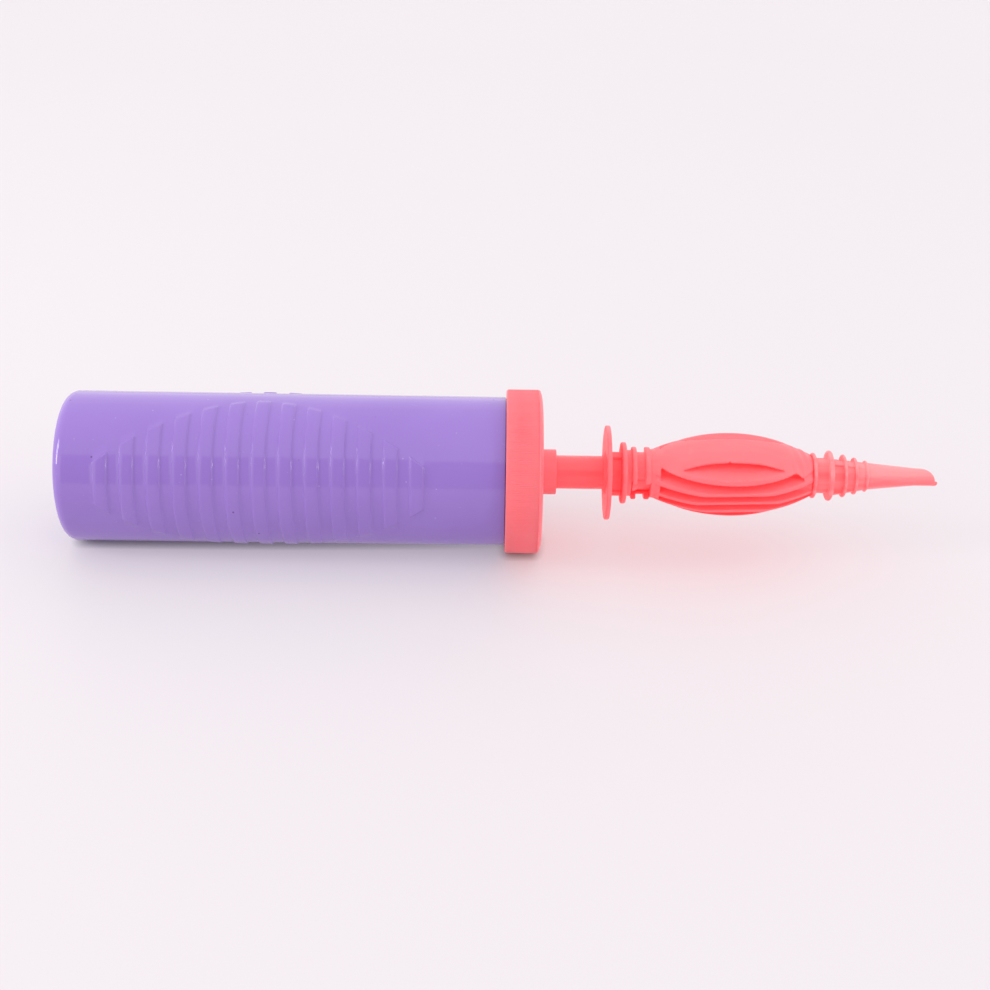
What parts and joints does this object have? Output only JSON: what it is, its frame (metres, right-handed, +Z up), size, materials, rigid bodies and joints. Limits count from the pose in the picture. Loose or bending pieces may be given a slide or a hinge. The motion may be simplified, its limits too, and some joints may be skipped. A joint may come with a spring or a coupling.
{
  "type": "dual-action hand inflation pump",
  "caption": "Hand-held dual-action air pump: smooth cylindrical barrel with a screwed ribbed cap, hollow sliding rod, slotted spindle-shaped handle and a stepped, bevelled nozzle.",
  "frame": {"origin": "centre of the barrel's flat closed end, on its outer face", "axes": "+X along the pump's axis from the closed end to the nozzle, +Z up, with the pump lying on its side"},
  "size_m": [0.2894, 0.0544, 0.0544],
  "materials": {
    "purple_plastic": "glossy moulded",
    "coral_plastic": "satin moulded",
    "rod_plastic": "glossy, lightly greased",
    "natural_plastic": "natural moulded",
    "black_rubber": "matt"
  },
  "bodies": {
    "barrel": {"barrel": "purple_plastic", "base_valve_rivet": "natural_plastic"},
    "base_valve": {"base_valve_ring": "black_rubber"},
    "cap_seat": {"cap_gasket": "black_rubber"},
    "cap": {"cap": "coral_plastic", "rod_seal": "black_rubber", "seal_retainer": "natural_plastic"},
    "cap_valve": {"cap_valve_ring": "black_rubber"},
    "piston_ring": {"piston_o_ring": "black_rubber"},
    "rod": {"rod": "rod_plastic", "piston_cup": "coral_plastic", "piston_cover": "coral_plastic", "push_valve_rivet": "natural_plastic", "pull_valve_keeper": "natural_plastic", "rod_lock_ring": "natural_plastic", "socket_o_ring": "black_rubber", "handle": "coral_plastic", "nozzle": "coral_plastic"},
    "push_valve": {"push_valve_ring": "black_rubber"},
    "pull_valve": {"pull_valve_ring": "black_rubber"}
  },
  "joints": [
    {"name": "stroke", "type": "slide", "parent": "barrel", "child": "piston_ring", "axis": [1, 0, 0], "range_m": [0, 0.126]},
    {"name": "handle_turn", "type": "hinge", "parent": "piston_ring", "child": "rod", "pos_m": [0, 0, 0], "axis": [1, 0, 0], "continuous": true},
    {"name": "cap_lift", "type": "slide", "parent": "barrel", "child": "cap_seat", "axis": [1, 0, 0], "range_m": [0, 0.0076]},
    {"name": "cap_turn", "type": "hinge", "parent": "cap_seat", "child": "cap", "pos_m": [0.15, 0, 0], "axis": [1, 0, 0], "range_deg": [0, 900]},
    {"name": "base_valve_lift", "type": "slide", "parent": "barrel", "child": "base_valve", "axis": [1, 0, 0], "range_m": [0, 0.001]},
    {"name": "cap_valve_lift", "type": "slide", "parent": "cap", "child": "cap_valve", "axis": [-1, 0, 0], "range_m": [0, 0.001]},
    {"name": "push_valve_lift", "type": "slide", "parent": "rod", "child": "push_valve", "axis": [1, 0, 0], "range_m": [0, 0.0011]},
    {"name": "pull_valve_lift", "type": "slide", "parent": "rod", "child": "pull_valve", "axis": [-1, 0, 0], "range_m": [0, 0.0011]}
  ],
  "couplings": [
    {"joint": "cap_lift", "follows": "cap_turn", "m_per_rad": 0.00047746}
  ]
}
